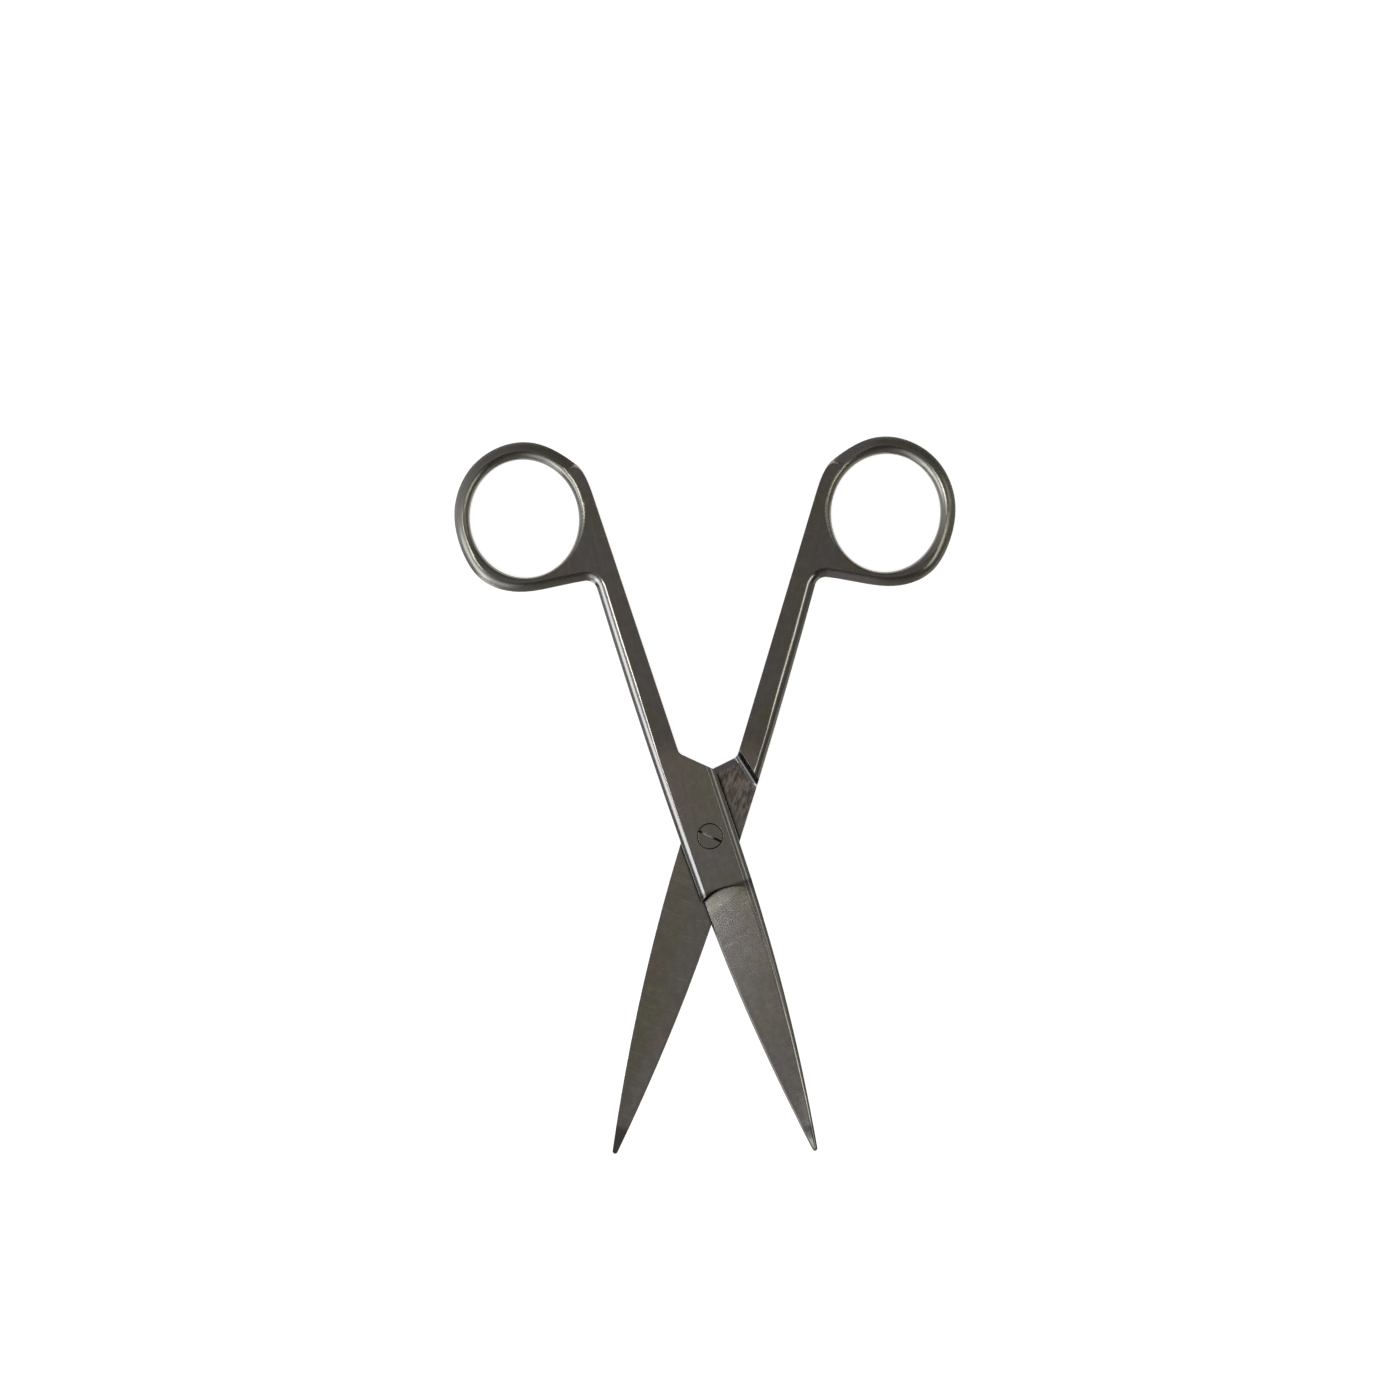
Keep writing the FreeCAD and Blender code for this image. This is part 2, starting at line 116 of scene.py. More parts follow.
# The noises behind the marks on the steel
NOISES = {
    "grain": {"Scale": 1.0, "Detail": 2.0, "Roughness": 0.6},
    "patches": {"Detail": 3.0, "Roughness": 0.55},
    "scratches": {"Scale": 1.0, "Detail": 3.0, "Roughness": 0.55},
    "rubbed rings": {"Scale": 2.6, "Detail": 4.0, "Roughness": 0.7},
    "rubbed parts": {"Scale": 0.35, "Detail": 1.0},
    "stains": {"Scale": 1.0, "Detail": 4.0, "Roughness": 0.65, "Distortion": 0.4},
    "turned rings": {"Scale": 7.0, "Detail": 3.0, "Roughness": 0.6},
}

# The value, of a noise or of how closed in a place is, where a mark begins and where it is full
STEPS = {
    "patches": (0.42, 0.62),
    "scratches": (0.66, 0.74),
    "rubbed rings": (0.52, 0.68),
    "rubbed parts": (0.42, 0.6),
    "stains": (0.34, 0.68),
    "crevices": (0.08, 0.42),
}

# How light a place is, next to clean steel: outside a mark or a part of a half, and inside it
SHANK_LINES = (0.88, 1.12)
BLADE_LINES = (0.87, 1.13)
CLOUDED = (0.95, 1.05)
SCRATCHED = (1.0, 1.22)
RUBBED = (1.0, 1.12)
STAINED = (0.45, 1.45)
# Painted shade and dirt in crevices: the steel darkens where the corner mask is full
DIRT_AND_SHADE_IN_CREVICES = (1.0, 0.12)
ON_SHANK = (1.0, 0.7)
# Painted shade on the shoulder's slope, which dims the reflection along it
SHADE_ON_SHOULDER = (1.0, 0.35)
# Painted shade on steep walls, which dims their reflection of the floor
SHADE_ON_WALLS = (0.4, 1.0)
ON_RING = (1.0, 0.97)
# Painted shadow on the blade just past the step at the plate's end
SHADOW_ON_HEEL = (1.0, 0.42)
# Painted shade at the tip, which dims a reflection there
SHADE_AT_TIP = (1.0, 0.5)
TURNED_RINGS = (0.85, 1.1)

# The share of the greener steel in the polished rims of the rings
RING_OLIVE = 0.5

# How much rougher the marks make the steel: between and on the grinding lines, then in full
LINE_ROUGHNESS = (-0.04, 0.04)
RUBBED_ROUGHNESS = 0.08
DIRT_ROUGHNESS = 0.2

# The roughness of the screw between and on its rings
SCREW_ROUGHNESS = (0.18, 0.3)

# The relief of the marks on a half: its depth, the height of the lines and the depth of the
# scratches as shares of it, and how much of it is there on bevels, on the shank and on the blade
MARK_DEPTH = 0.006 * MM
LINE_HEIGHT = 0.6
SCRATCH_DEPTH = 0.5
RELIEF_ON_BEVELS = 0.08
RELIEF_ON_SHANK = 0.9
RELIEF_ON_BLADE = 0.35

# The relief of the marks on the screw
SCREW_MARK_DEPTH = 0.004 * MM
SCREW_SCRATCH_DEPTH = 0.4

# The round on the screw's edges
SCREW_ROUND = 0.06 * MM

# How far from a corner dirt and shade reach
CREVICE_REACH = 0.9 * MM
SLOT_REACH = 0.5 * MM

# How many rays look for corners and for ridges
CREVICE_SAMPLES = 16
RIDGE_SAMPLES = 24
SCREW_RIDGE_SAMPLES = 8

# The screw's slot: its direction, where in millimetres along it the painted highlight begins and
# where it ends, and how light the slot is: painted shade outside that part, painted highlight in
# it
SLOT_RUN = math.radians(27)
SLOT_GLINT = ((-1.8, -1.4), (0.3, 1.1))
SHADE_AND_GLINT_IN_SLOT = (0.2, 1.9)

# The room round the scissors: the colour of its walls from left to right, and how bright they are
# from the front to the back
WALLS = {
    -0.99: (0.4, 0.4, 0.42),
    -0.6: (0.3, 0.292, 0.295),
    -0.43: (0.25, 0.23, 0.245),
    -0.3: (0.24, 0.217, 0.236),
    -0.12: (0.235, 0.212, 0.233),
    -0.03: (0.16, 0.152, 0.136),
    0.0: (0.156, 0.148, 0.132),
    0.3: (0.17, 0.16, 0.138),
    0.6: (0.12, 0.115, 0.098),
    0.99: (0.15, 0.147, 0.125),
}
FRONT_TO_BACK = {
    -0.99: 0.8,
    -0.75: 0.65,
    -0.6: 0.15,
    -0.35: 0.12,
    -0.15: 0.9,
    0.0: 1.0,
    0.25: 0.85,
    0.6: 0.55,
    0.95: 0.5,
}

# The lamps: where they hang, their size across and upwards, their radiance and their colour
LAMPS = {
    "left window": ((-0.97, -0.52, 0.8), (0.9, 0.4), 1.5, (0.95, 0.96, 1.0)),
    "left lamp": ((-0.51, -0.06, 0.9), (0.28, 0.15), 4.4, (1.0, 0.98, 0.9)),
    "front lamp": ((-0.51, -0.68, 0.8), (0.64, 0.45), 0.6, (0.93, 0.96, 1.0)),
    "left edge lamp": ((-0.95, -0.3, 0.1), (0.35, 0.16), 0.4, (0.97, 0.98, 1.0)),
    "low left lamp": ((-0.7, -0.85, 0.27), (0.5, 0.3), 0.9, (0.97, 0.98, 1.0)),
    "low right lamp": ((0.8, -0.56, 0.26), (0.8, 0.36), 0.22, (1.0, 0.98, 0.85)),
    "right lamp": ((0.7, -0.22, 0.9), (0.5, 0.17), 1.5, (1.0, 0.97, 0.87)),
    "back lamp": ((0.44, 0.14, 0.9), (0.25, 0.07), 0.8, (1.0, 0.97, 0.9)),
    "far back lamp": ((0.92, 0.29, 0.7), (0.4, 0.16), 0.5, (1.0, 1.0, 1.0)),
}

# The overhead fill, which lights the floor and isn't reflected in the steel
FILL = ((0, 0, 1.6), (1.6, 1.6), 0.9, (1, 1, 1))

# The floor: how far it reaches, how far it lies below the scissors, its white and its roughness,
# and its own brightness as the camera and the steel see it
FLOOR_REACH = 10.0
FLOOR_DROP = 0.02 * MM
FLOOR_WHITE = (0.88, 0.88, 0.88, 1)
FLOOR_ROUGHNESS = 0.9
FLOOR_GLOW = 0.78


class ScissorsSizes(PropertyGroup):
    """Sizes of the finishing work on the steel."""

    ridge_round: FloatProperty(
        name="Ridge round",
        description="Radius of the small round that polishing leaves on every ridge",
        default=0.1 * MM,
        unit="LENGTH",
    )
    smooth_angle: FloatProperty(
        name="Smooth angle",
        description="Faces that meet at less than this angle shade as one surface",
        default=math.radians(18),
        subtype="ANGLE",
    )


class ScissorsFinish(PropertyGroup):
    """Colours and polish of the steel."""

    neutral: FloatVectorProperty(
        name="Neutral steel",
        description="Colour of the stainless steel where it is cleanest",
        default=(0.51, 0.50, 0.48),
        size=3,
        subtype="COLOR",
    )
    olive: FloatVectorProperty(
        name="Olive steel",
        description="Colour of the greener patches",
        default=(0.50, 0.49, 0.40),
        size=3,
        subtype="COLOR",
    )
    brown: FloatVectorProperty(
        name="Brown steel",
        description="Colour of the browner patches",
        default=(0.53, 0.47, 0.42),
        size=3,
        subtype="COLOR",
    )
    satin: FloatProperty(
        name="Satin roughness",
        description="Roughness of the satin flats",
        default=0.27,
    )
    ground: FloatProperty(
        name="Ground roughness",
        description="Roughness of the ground blades",
        default=0.2,
    )
    polished: FloatProperty(
        name="Polished roughness",
        description="Roughness of the polished bevels",
        default=0.16,
    )
    ring: FloatProperty(
        name="Ring roughness",
        description="Roughness of the rims of the rings",
        default=0.25,
    )


def clean_copy(node, name):
    """The node's form with its doubled corners merged and its flat faces in one piece."""
    mesh = bpy.data.meshes.new(name)
    form = bmesh.new()
    form.from_mesh(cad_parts[node].data)
    bmesh.ops.remove_doubles(form, verts=form.verts, dist=SAME_CORNER)
    bmesh.ops.dissolve_degenerate(form, edges=form.edges, dist=SAME_CORNER)
    bmesh.ops.dissolve_limit(
        form,
        angle_limit=SAME_FACE,
        verts=form.verts,
        edges=form.edges,
        use_dissolve_boundaries=False,
    )
    form.to_mesh(mesh)
    form.free()
    mesh.materials.clear()
    piece = bpy.data.objects.new(name, mesh)
    bpy.context.scene.collection.objects.link(piece)
    return piece


def mark_ridges(piece, angle):
    """Every ridge sharper than the angle stays crisp; the rest shades smoothly."""
    form = bmesh.new()
    form.from_mesh(piece.data)
    for face in form.faces:
        face.smooth = True
    for edge in form.edges:
        edge.smooth = edge.is_manifold and edge.calc_face_angle() < angle
    form.to_mesh(piece.data)
    form.free()


def even_shading(piece):
    """Wide flat faces keep their own direction, and narrow rounds blend into them."""
    even = piece.modifiers.new("even shading", "WEIGHTED_NORMAL")
    even.mode = "FACE_AREA"
    even.weight = WIDE_FACE_WEIGHT
    even.keep_sharp = True


def new_material(name):
    """A material whose node tree holds only its surface."""
    material = bpy.data.materials.new(name)
    material.use_nodes = True
    return material


def feed(tree, node, inputs):
    """Set a node's inputs, each from a socket or to a plain value."""
    for place, value in inputs.items():
        if isinstance(value, bpy.types.NodeSocket):
            tree.links.new(value, node.inputs[place])
        else:
            node.inputs[place].default_value = value


def put(tree, kind, inputs=None, **settings):
    """Add a node with its settings and its inputs."""
    node = tree.nodes.new(kind)
    for name, value in settings.items():
        setattr(node, name, value)
    feed(tree, node, inputs or {})
    return node


def math_node(tree, operation, *values):
    """A sum on values, each a socket or a plain number."""
    return put(tree, "ShaderNodeMath", dict(enumerate(values)), operation=operation).outputs[0]


def product(tree, first, *factors):
    """The product of two or more values, each a socket or a plain number."""
    for factor in factors:
        first = math_node(tree, "MULTIPLY", first, factor)
    return first


def inverse(tree, mask):
    """1 where a mask is 0, and 0 where it is 1."""
    return math_node(tree, "SUBTRACT", 1.0, mask)


def step_up(tree, value, low, high):
    """0 below low, 1 above high and smooth between them."""
    inputs = {"Value": value, "From Min": low, "From Max": high}
    node = put(tree, "ShaderNodeMapRange", inputs, interpolation_type="SMOOTHSTEP")
    return node.outputs["Result"]


def blend_values(tree, share, first, second):
    """First where share is 0, second where it is 1."""
    inputs = {0: share, 2: first, 3: second}
    return put(tree, "ShaderNodeMix", inputs, data_type="FLOAT").outputs[0]


def blend_colours(tree, share, first, second, kind="MIX"):
    """First where share is 0, and where it is 1 second or, by kind, their product."""
    inputs = {0: share, 6: first, 7: second}
    return put(tree, "ShaderNodeMix", inputs, data_type="RGBA", blend_type=kind).outputs[2]


def scaled(tree, colour, factor):
    """A colour made lighter or darker by a factor."""
    inputs = {0: colour, "Scale": factor}
    return put(tree, "ShaderNodeVectorMath", inputs, operation="SCALE").outputs["Vector"]


def turned(tree, vector, angle, scale=(1.0, 1.0, 1.0)):
    """Coordinates scaled and then turned round the Z axis."""
    inputs = {"Vector": vector, "Rotation": (0, 0, angle), "Scale": scale}
    return put(tree, "ShaderNodeMapping", inputs).outputs["Vector"]


def xyz(tree, vector):
    """The X, the Y and the Z of a vector."""
    return put(tree, "ShaderNodeSeparateXYZ", {"Vector": vector}).outputs


def distance_from_axis(tree, vector):
    """The distance from the pivot's axis."""
    flat = put(tree, "ShaderNodeVectorMath", {0: vector, 1: (1, 1, 0)}, operation="MULTIPLY")
    length = put(tree, "ShaderNodeVectorMath", {0: flat.outputs["Vector"]}, operation="LENGTH")
    return length.outputs["Value"]


def noise_at(tree, kind, vector, **inputs):
    """One of the noises at a place, as a value."""
    inputs = {**NOISES[kind], **inputs, "Vector": vector}
    return put(tree, "ShaderNodeTexNoise", inputs).outputs["Fac"]


def noise_rings(tree, kind, vector):
    """One of the noises in rings round the pivot's axis, as a value."""
    inputs = {**NOISES[kind], "W": distance_from_axis(tree, vector)}
    return put(tree, "ShaderNodeTexNoise", inputs, noise_dimensions="1D").outputs["Fac"]


def effect_group(name, inputs, outputs):
    """An empty node group with its sockets; inputs and outputs map names to socket kinds."""
    tree = bpy.data.node_groups.new(name, "ShaderNodeTree")
    for socket, kind in inputs.items():
        tree.interface.new_socket(socket, in_out="INPUT", socket_type=kind)
    for socket, kind in outputs.items():
        tree.interface.new_socket(socket, in_out="OUTPUT", socket_type=kind)
    start = tree.nodes.new("NodeGroupInput")
    end = tree.nodes.new("NodeGroupOutput")
    return tree, start.outputs, end.inputs


def grain_group(name):
    """Fine grinding lines along X, a few tenths of a millimetre apart, as a value."""
    sockets = {"Vector": "NodeSocketVector"}, {"Value": "NodeSocketFloat"}
    tree, given, result = effect_group(name, *sockets)
    total = 0.0
    for across, along in GRAIN_SCALES:
        place = turned(tree, given["Vector"], 0.0, (along, across, along))
        total = math_node(tree, "ADD", total, noise_at(tree, "grain", place))
    tree.links.new(math_node(tree, "DIVIDE", total, len(GRAIN_SCALES)), result["Value"])


def mottle_group(name):
    """The steel's colour: soft patches some millimetres wide, greener and browner."""
    inputs = {"Vector": "NodeSocketVector"}
    for colour in ("Neutral", "Olive", "Brown"):
        inputs[colour] = "NodeSocketColor"
    tree, given, result = effect_group(name, inputs, {"Color": "NodeSocketColor"})
    shares = {}
    for patch, (scale, shift) in PATCHES.items():
        place = put(
            tree,
            "ShaderNodeMapping",
            {"Vector": given["Vector"], "Location": (shift, shift, 0), "Scale": PATCH_STRETCH},
        )
        noise = noise_at(tree, "patches", place.outputs["Vector"], Scale=scale)
        shares[patch] = step_up(tree, noise, *STEPS["patches"])
    greener = blend_colours(tree, shares["olive"], given["Neutral"], given["Olive"])
    browned = product(tree, shares["brown"], BROWN_SHARE)
    browner = blend_colours(tree, browned, greener, given["Brown"])
    cloud = blend_values(tree, shares["cloud"], *CLOUDED)
    tree.links.new(scaled(tree, browner, cloud), result["Color"])


def scuff_group(name):
    """Sparse fine scratches in three directions, as a mask."""
    sockets = {"Vector": "NodeSocketVector"}, {"Mask": "NodeSocketFloat"}
    tree, given, result = effect_group(name, *sockets)
    total = 0.0
    for turn, across, along in SCRATCHES:
        place = turned(tree, given["Vector"], turn, (along, across, 1.0))
        noise = noise_at(tree, "scratches", place)
        total = math_node(tree, "ADD", total, step_up(tree, noise, *STEPS["scratches"]))
    tree.links.new(math_node(tree, "MINIMUM", total, 1.0), result["Mask"])


def rub_group(name):
    """Arcs round the pivot that the other half has rubbed, as a mask."""
    sockets = {"Vector": "NodeSocketVector"}, {"Mask": "NodeSocketFloat"}
    tree, given, result = effect_group(name, *sockets)
    rings = noise_rings(tree, "rubbed rings", given["Vector"])
    parts = noise_at(tree, "rubbed parts", given["Vector"])
    lines = step_up(tree, rings, *STEPS["rubbed rings"])
    shown = step_up(tree, parts, *STEPS["rubbed parts"])
    tree.links.new(product(tree, lines, shown), result["Mask"])


def crevice_group(name):
    """Where dirt and shade gather: 1 deep in a corner, 0 in the open."""
    sockets = {"Reach": "NodeSocketFloat"}, {"Mask": "NodeSocketFloat"}
    tree, given, result = effect_group(name, *sockets)
    inputs = {"Distance": given["Reach"]}
    air = put(tree, "ShaderNodeAmbientOcclusion", inputs, samples=CREVICE_SAMPLES)
    closed = inverse(tree, air.outputs["AO"])
    tree.links.new(step_up(tree, closed, *STEPS["crevices"]), result["Mask"])


EFFECTS = {
    "grinding lines": grain_group,
    "mottled steel": mottle_group,
    "scuffs": scuff_group,
    "rubbed arcs": rub_group,
    "crevices": crevice_group,
}


def build_effects():
    """Build each shared effect that isn't there yet."""
    for name, builder in EFFECTS.items():
        if name not in bpy.data.node_groups:
            builder(name)


def effect(tree, name, inputs):
    """What comes out of a shared effect in a material."""
    return put(tree, "ShaderNodeGroup", inputs, node_tree=bpy.data.node_groups[name]).outputs[0]


def steel_colour(tree, vector):
    """The mottled colour of the steel at a place."""
    finish = bpy.context.scene.scissors_finish
    inputs = {
        "Vector": vector,
        "Neutral": (*finish.neutral, 1),
        "Olive": (*finish.olive, 1),
        "Brown": (*finish.brown, 1),
    }
    return effect(tree, "mottled steel", inputs)


def relief(tree, height, depth, strength, ridge, samples):
    """The surface's direction: a relief of some depth, on ridges with a small round."""
    soft = put(tree, "ShaderNodeBevel", {"Radius": ridge}, samples=samples)
    inputs = {
        "Height": height,
        "Distance": depth,
        "Strength": strength,
        "Normal": soft.outputs["Normal"],
    }
    return put(tree, "ShaderNodeBump", inputs).outputs["Normal"]


def set_metal(tree, colour, roughness, normal):
    """Give a material's surface what makes it metal."""
    inputs = {"Metallic": 1.0, "Base Color": colour, "Roughness": roughness, "Normal": normal}
    feed(tree, tree.nodes["Principled BSDF"], inputs)


def place_in_half(tree, mirrored):
    """Where a point lies in a half's own frame, in millimetres, and its direction at rest."""
    side = -1 if mirrored else 1
    where = put(tree, "ShaderNodeTexCoord").outputs["Object"]
    face = put(tree, "ShaderNodeNewGeometry").outputs["Normal"]
    place = turned(tree, where, -HALF_OPENING, (side / MM, 1 / MM, 1 / MM))
    facing = turned(tree, face, -HALF_OPENING, (side, 1, 1))
    return place, xyz(tree, place), xyz(tree, facing)


def half_masks(tree, spot, way):
    """Where a half is blade, ring, shank, ground flat and so on: 1 there and 0 elsewhere."""
    towards_tip = product(tree, spot["Y"], -1.0)
    masks = {part: step_up(tree, towards_tip, *ends) for part, ends in TOWARDS_TIP.items()}
    for part, ends in TOWARDS_RING.items():
        masks[part] = step_up(tree, spot["Y"], *ends)
    level = math_node(tree, "ABSOLUTE", way["Z"])
    lowest = blend_values(tree, masks["blade"], LEVEL, LEVEL_ON_BLADE)
    flat = math_node(tree, "GREATER_THAN", level, lowest)
    back = step_up(tree, way["X"], *TO_BACK)
    above_lap = math_node(tree, "SUBTRACT", spot["Z"], LAP_HEIGHT / MM)
    lap_distance = math_node(tree, "ABSOLUTE", above_lap)
    off_lap = math_node(tree, "GREATER_THAN", lap_distance, LAP_REACH)
    near_shoulder = math_node(tree, "COMPARE", spot["Y"], SHOULDER, SHOULDER_REACH)
    facing_tip = step_up(tree, product(tree, way["Y"], -1.0), *TO_TIP)
    masks["open"] = step_up(tree, level, *OPEN)
    masks["ground"] = product(tree, flat, inverse(tree, back))
    masks["lap"] = product(tree, inverse(tree, off_lap), flat)
    masks["root"] = product(tree, masks["lap"], masks["past root"])
    masks["heel"] = product(tree, masks["blade"], inverse(tree, masks["past heel"]), off_lap)
    masks["shoulder"] = product(tree, near_shoulder, facing_tip)
    return masks


def half_marks(tree, vector, masks):
    """Grinding lines, scratches, rubbed arcs, stains, and dirt with painted shade in corners on a
    half, each from 0 to 1.
    """
    brushed, ground = (
        effect(tree, "grinding lines", {"Vector": turned(tree, vector, run)})
        for run in (SHANK_GRAIN, BLADE_GRAIN)
    )
    scuffs = effect(tree, "scuffs", {"Vector": vector})
    rubs = effect(tree, "rubbed arcs", {"Vector": vector})
    stains = noise_at(tree, "stains", turned(tree, vector, STAIN_RUN, STAIN_STRETCH))
    return {
        "lines": blend_values(tree, masks["blade"], brushed, ground),
        "scuffs": product(tree, scuffs, masks["ground"]),
        "rubs": product(tree, rubs, masks["lap"]),
        "stains": step_up(tree, stains, *STEPS["stains"]),
        "dirt_and_shade": effect(tree, "crevices", {"Reach": CREVICE_REACH}),
    }


def half_colour(tree, vector, masks, marks):
    """Mottled flats, clean bevels and greener rings, each as light as its place and marks say,
    with painted shade in crevices, on the shoulder, on steep walls, past the step and at the tip.
    """
    finish = bpy.context.scene.scissors_finish
    ground = masks["ground"]
    shank_ground = product(tree, masks["shank"], ground)
    lines = (
        blend_values(tree, masks["blade"], *pair) for pair in zip(SHANK_LINES, BLADE_LINES)
    )
    lined = blend_values(tree, marks["lines"], *lines)
    stained = blend_values(tree, marks["stains"], *STAINED)
    shade = product(
        tree,
        blend_values(tree, ground, 1.0, lined),
        blend_values(tree, marks["scuffs"], *SCRATCHED),
        blend_values(tree, marks["rubs"], *RUBBED),
        blend_values(tree, shank_ground, *ON_SHANK),
        blend_values(tree, masks["ring"], *ON_RING),
        blend_values(tree, masks["heel"], *SHADOW_ON_HEEL),
        blend_values(tree, masks["tip"], *SHADE_AT_TIP),
        blend_values(tree, masks["shoulder"], *SHADE_ON_SHOULDER),
        blend_values(tree, masks["open"], *SHADE_ON_WALLS),
        blend_values(tree, masks["root"], 1.0, stained),
        blend_values(tree, marks["dirt_and_shade"], *DIRT_AND_SHADE_IN_CREVICES),
    )
    greener = product(tree, masks["ring"], RING_OLIVE)
    clean = blend_colours(tree, greener, (*finish.neutral, 1), (*finish.olive, 1))
    return scaled(tree, blend_colours(tree, ground, clean, steel_colour(tree, vector)), shade)


def half_roughness(tree, masks, marks):
    """Satin shanks, smoother blades, polished bevels and rougher dirt."""
    finish = bpy.context.scene.scissors_finish
    matt = blend_values(tree, masks["blade"], finish.satin, finish.ground)
    matt = math_node(tree, "ADD", matt, blend_values(tree, marks["lines"], *LINE_ROUGHNESS))
    matt = math_node(tree, "ADD", matt, product(tree, marks["rubs"], RUBBED_ROUGHNESS))
    polished = blend_values(tree, masks["ring"], finish.polished, finish.ring)
    rough = blend_values(tree, masks["ground"], polished, matt)
    return math_node(tree, "ADD", rough, product(tree, marks["dirt_and_shade"], DIRT_ROUGHNESS))


def half_relief(tree, masks, marks):
    """Fine lines and scratches on the flats, and softened ridges."""
    lines = product(tree, marks["lines"], LINE_HEIGHT)
    scratches = product(tree, marks["scuffs"], SCRATCH_DEPTH)
    height = math_node(tree, "SUBTRACT", lines, scratches)
    on_flats = blend_values(tree, masks["blade"], RELIEF_ON_SHANK, RELIEF_ON_BLADE)
    strength = blend_values(tree, masks["ground"], RELIEF_ON_BEVELS, on_flats)
    ridge = bpy.context.scene.scissors_sizes.ridge_round
    return relief(tree, height, MARK_DEPTH, strength, ridge, RIDGE_SAMPLES)


def half_steel(name, mirrored):
    """Forged stainless steel: satin flats, ground blades, polished bevels and rubbed lap faces."""
    material = new_material(name)
    tree = material.node_tree
    vector, spot, way = place_in_half(tree, mirrored)
    masks = half_masks(tree, spot, way)
    marks = half_marks(tree, vector, masks)
    set_metal(
        tree,
        half_colour(tree, vector, masks, marks),
        half_roughness(tree, masks, marks),
        half_relief(tree, masks, marks),
    )
    return material


def screw_steel(name):
    """Turned stainless steel: fine rings round the axis, with painted shade where the slot and gap
    are deep and a painted highlight along part of the slot.
    """
    material = new_material(name)
    tree = material.node_tree
    where = put(tree, "ShaderNodeTexCoord").outputs["Object"]
    vector = turned(tree, where, 0.0, (1 / MM, 1 / MM, 1 / MM))
    rings = noise_rings(tree, "turned rings", vector)
    scuffs = effect(tree, "scuffs", {"Vector": vector})
    dirt_and_shade = effect(tree, "crevices", {"Reach": SLOT_REACH})
    along = xyz(tree, turned(tree, vector, SLOT_RUN))["X"]
    begins, ends = (step_up(tree, along, *edge) for edge in SLOT_GLINT)
    glint = product(tree, begins, inverse(tree, ends))
    # Painted shade in the slot and gap, and a painted highlight along part of the slot
    shade = product(
        tree,
        blend_values(tree, rings, *TURNED_RINGS),
        blend_values(tree, dirt_and_shade, 1.0, blend_values(tree, glint, *SHADE_AND_GLINT_IN_SLOT)),
    )
    scratches = product(tree, scuffs, SCREW_SCRATCH_DEPTH)
    height = math_node(tree, "SUBTRACT", rings, scratches)
    set_metal(
        tree,
        scaled(tree, steel_colour(tree, vector), shade),
        blend_values(tree, rings, *SCREW_ROUGHNESS),
        relief(tree, height, SCREW_MARK_DEPTH, 1.0, SCREW_ROUND, SCREW_RIDGE_SAMPLES),
    )
    return material


def finished_piece(node, body, material):
    """Replace a node by its smoothly shaded copy in one material."""
    piece = clean_copy(node, node + "_finished")
    mark_ridges(piece, bpy.context.scene.scissors_sizes.smooth_angle)
    piece.data.materials.append(material)
    even_shading(piece)
    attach(piece, body)
    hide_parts(node)


class SCISSORS_OT_half(Operator):
    """Finish the two halves of the scissors."""

    bl_idname = "scissors.halves"
    bl_label = "Halves"

    def execute(self, context):
        build_effects()
        upper = half_steel("upper half steel", False)
        lower = half_steel("lower half steel", True)
        finished_piece("upper_half", "upper", upper)
        finished_piece("lower_half", "lower", lower)
        return {"FINISHED"}


class SCISSORS_OT_screw(Operator):
    """Finish the joint screw."""

    bl_idname = "scissors.screw"
    bl_label = "Joint screw"

    def execute(self, context):
        build_effects()
        finished_piece("joint_screw", "lower", screw_steel("turned screw steel"))
        return {"FINISHED"}


def area_lamp(name, place, size, radiance, colour, seen_in_metal=True):
    """A flat lamp that shines on the scissors, as bright as radiance."""
    data = bpy.data.lights.new(name, "AREA")
    data.shape = "RECTANGLE"
    data.size, data.size_y = size
    data.energy = radiance * math.pi * size[0] * size[1]
    data.color = colour
    lamp = bpy.data.objects.new(name, data)
    lamp.location = place
    lamp.rotation_euler = (VIEW_CENTRE - Vector(place)).to_track_quat("-Z", "Y").to_euler()
    lamp.visible_glossy = seen_in_metal
    bpy.context.scene.collection.objects.link(lamp)


def shade_along(tree, value, stops):
    """A colour that changes with a value from -1 to 1; stops maps values to colours."""
    inputs = {"Value": value, "From Min": -1.0, "From Max": 1.0}
    share = put(tree, "ShaderNodeMapRange", inputs).outputs["Result"]
    ramp = put(tree, "ShaderNodeValToRGB", {"Fac": share})
    ends = ramp.color_ramp.elements
    for place, colour in stops.items():
        stop = ends.new((place + 1) / 2)
        stop.color = (*colour, 1)
    ends.remove(ends[0])
    ends.remove(ends[len(ends) - 1])
    return ramp.outputs["Color"]


def studio_world():
    """A dim room: a paler wall on the left, a darker one on the right, a dark band in front."""
    world = bpy.data.worlds.new("studio")
    world.use_nodes = True
    bpy.context.scene.world = world
    tree = world.node_tree
    way = xyz(tree, put(tree, "ShaderNodeTexCoord").outputs["Generated"])
    sides = shade_along(tree, way["X"], WALLS)
    greys = {place: (share, share, share) for place, share in FRONT_TO_BACK.items()}
    ends = shade_along(tree, way["Y"], greys)
    room = blend_colours(tree, 1.0, sides, ends, "MULTIPLY")
    tree.links.new(room, tree.nodes["Background"].inputs["Color"])


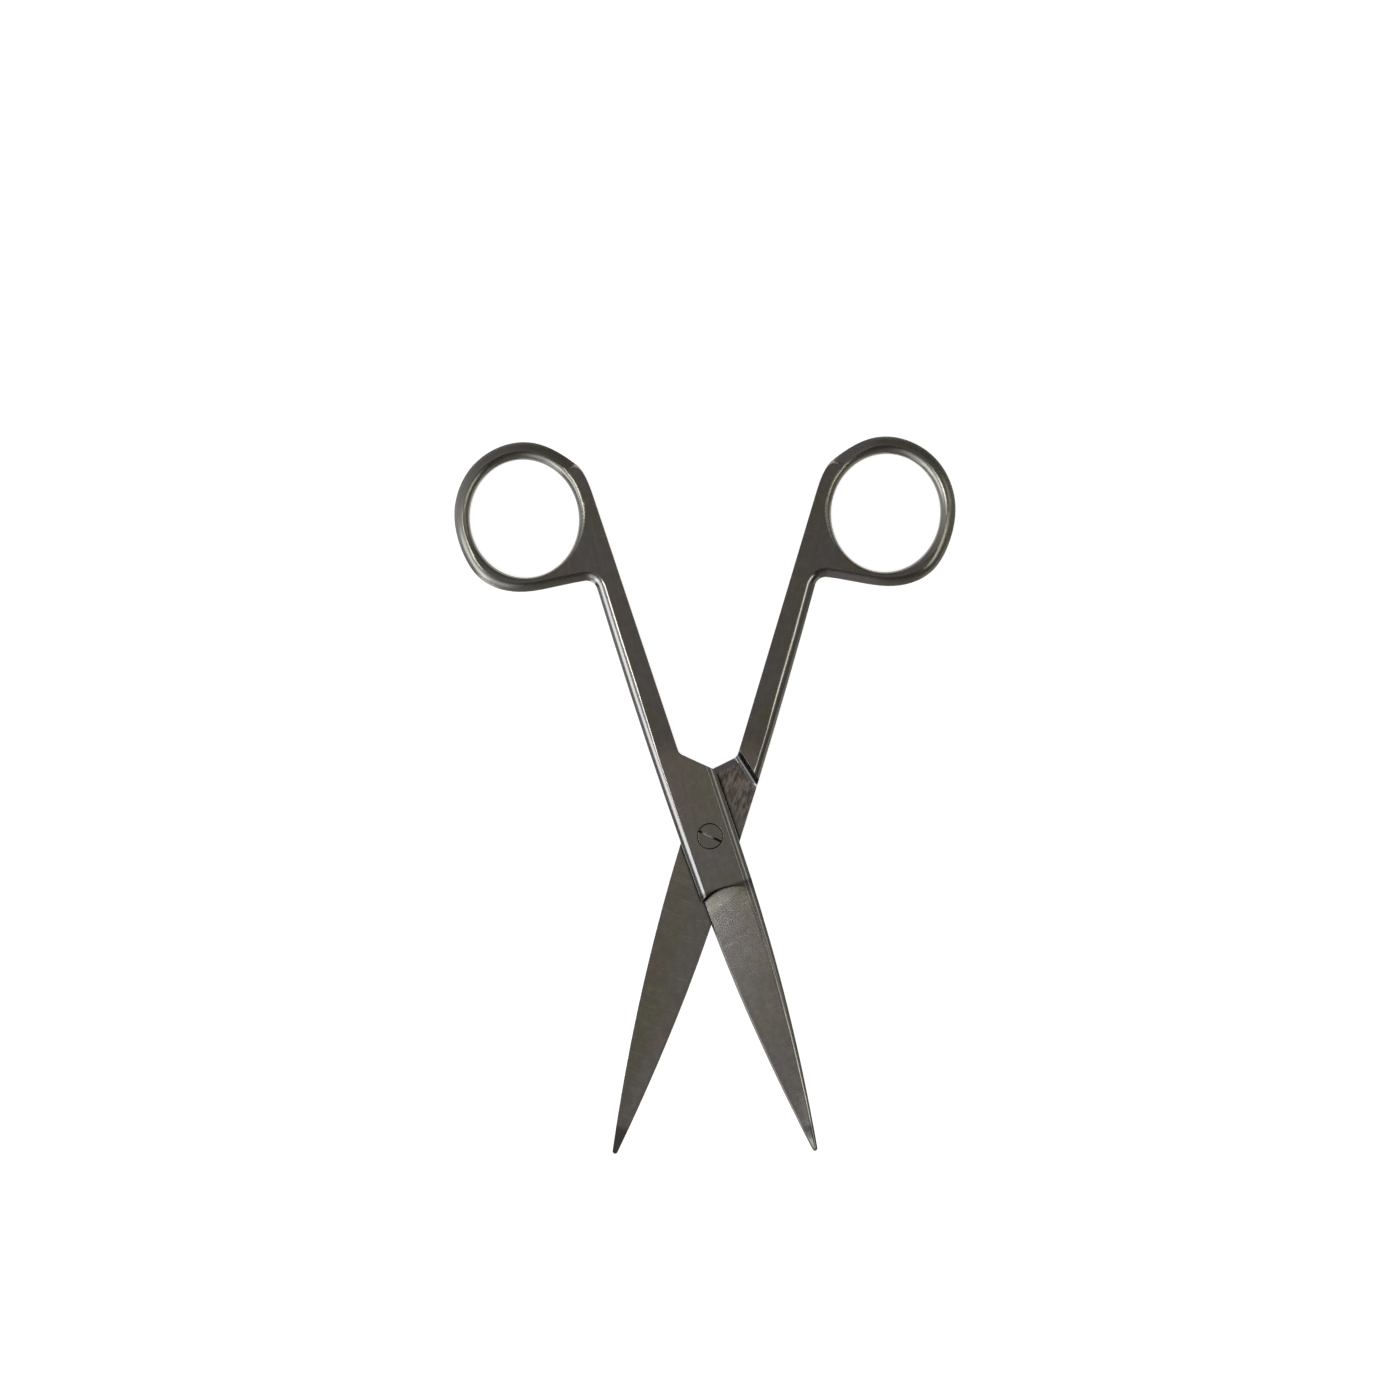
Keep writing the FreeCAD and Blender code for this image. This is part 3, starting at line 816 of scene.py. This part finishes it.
def white_floor():
    """A white floor that glows for the camera and the steel and still takes the shadow."""
    mesh = bpy.data.meshes.new("floor")
    form = bmesh.new()
    bmesh.ops.create_grid(form, x_segments=1, y_segments=1, size=FLOOR_REACH)
    form.to_mesh(mesh)
    form.free()
    mesh.transform(Matrix.Translation((0, 0, -FLOOR_DROP)))
    floor = bpy.data.objects.new("floor", mesh)
    bpy.context.scene.collection.objects.link(floor)
    material = new_material("white floor")
    tree = material.node_tree
    rays = put(tree, "ShaderNodeLightPath").outputs
    seen = math_node(tree, "MAXIMUM", rays["Is Camera Ray"], rays["Is Glossy Ray"])
    seen = math_node(tree, "MAXIMUM", seen, rays["Is Transmission Ray"])
    inputs = {
        "Base Color": FLOOR_WHITE,
        "Roughness": FLOOR_ROUGHNESS,
        "Specular IOR Level": 0.0,
        "Emission Color": (1, 1, 1, 1),
        "Emission Strength": product(tree, seen, FLOOR_GLOW),
    }
    feed(tree, tree.nodes["Principled BSDF"], inputs)
    mesh.materials.append(material)


def overhead_camera():
    """A camera that looks straight down on the scissors."""
    data = bpy.data.cameras.new("camera")
    data.sensor_width = SENSOR_WIDTH
    data.lens = SENSOR_WIDTH * VIEW_DISTANCE / VIEW_WIDTH
    data.clip_start = CLIP_START
    camera = bpy.data.objects.new("camera", data)
    camera.location = VIEW_CENTRE + Vector((0, 0, VIEW_DISTANCE))
    camera.rotation_euler = (0, 0, VIEW_ROLL)
    bpy.context.scene.collection.objects.link(camera)
    bpy.context.scene.camera = camera


class SCISSORS_OT_stage(Operator):
    """Set up the floor, the lights and the camera."""

    bl_idname = "scissors.stage"
    bl_label = "Stage"

    def execute(self, context):
        context.scene.view_settings.view_transform = "Standard"
        studio_world()
        white_floor()
        for name, lamp in LAMPS.items():
            area_lamp(name, *lamp)
        area_lamp("overhead fill", *FILL, seen_in_metal=False)
        overhead_camera()
        return {"FINISHED"}


class SCISSORS_PT_panel(Panel):
    """Lists the steps that finish the scissors."""

    bl_idname = "SCISSORS_PT_panel"
    bl_label = "Operating scissors"
    bl_space_type = "VIEW_3D"
    bl_region_type = "UI"
    bl_category = "Scissors"

    def draw(self, context):
        layout = self.layout
        for name in ("ridge_round", "smooth_angle"):
            layout.prop(context.scene.scissors_sizes, name)
        for name in ("neutral", "olive", "brown", "satin", "ground", "polished", "ring"):
            layout.prop(context.scene.scissors_finish, name)
        layout.operator("scissors.halves")
        layout.operator("scissors.screw")
        layout.operator("scissors.stage")


CLASSES = (
    ScissorsSizes,
    ScissorsFinish,
    SCISSORS_OT_half,
    SCISSORS_OT_screw,
    SCISSORS_OT_stage,
    SCISSORS_PT_panel,
)


def register():
    for item in CLASSES:
        bpy.utils.register_class(item)
    bpy.types.Scene.scissors_sizes = PointerProperty(type=ScissorsSizes)
    bpy.types.Scene.scissors_finish = PointerProperty(type=ScissorsFinish)


def unregister():
    del bpy.types.Scene.scissors_finish
    del bpy.types.Scene.scissors_sizes
    for item in reversed(CLASSES):
        bpy.utils.unregister_class(item)


def main():
    register()
    bpy.ops.scissors.halves()
    bpy.ops.scissors.screw()
    bpy.ops.scissors.stage()


if __name__ == "__main__":
    main()
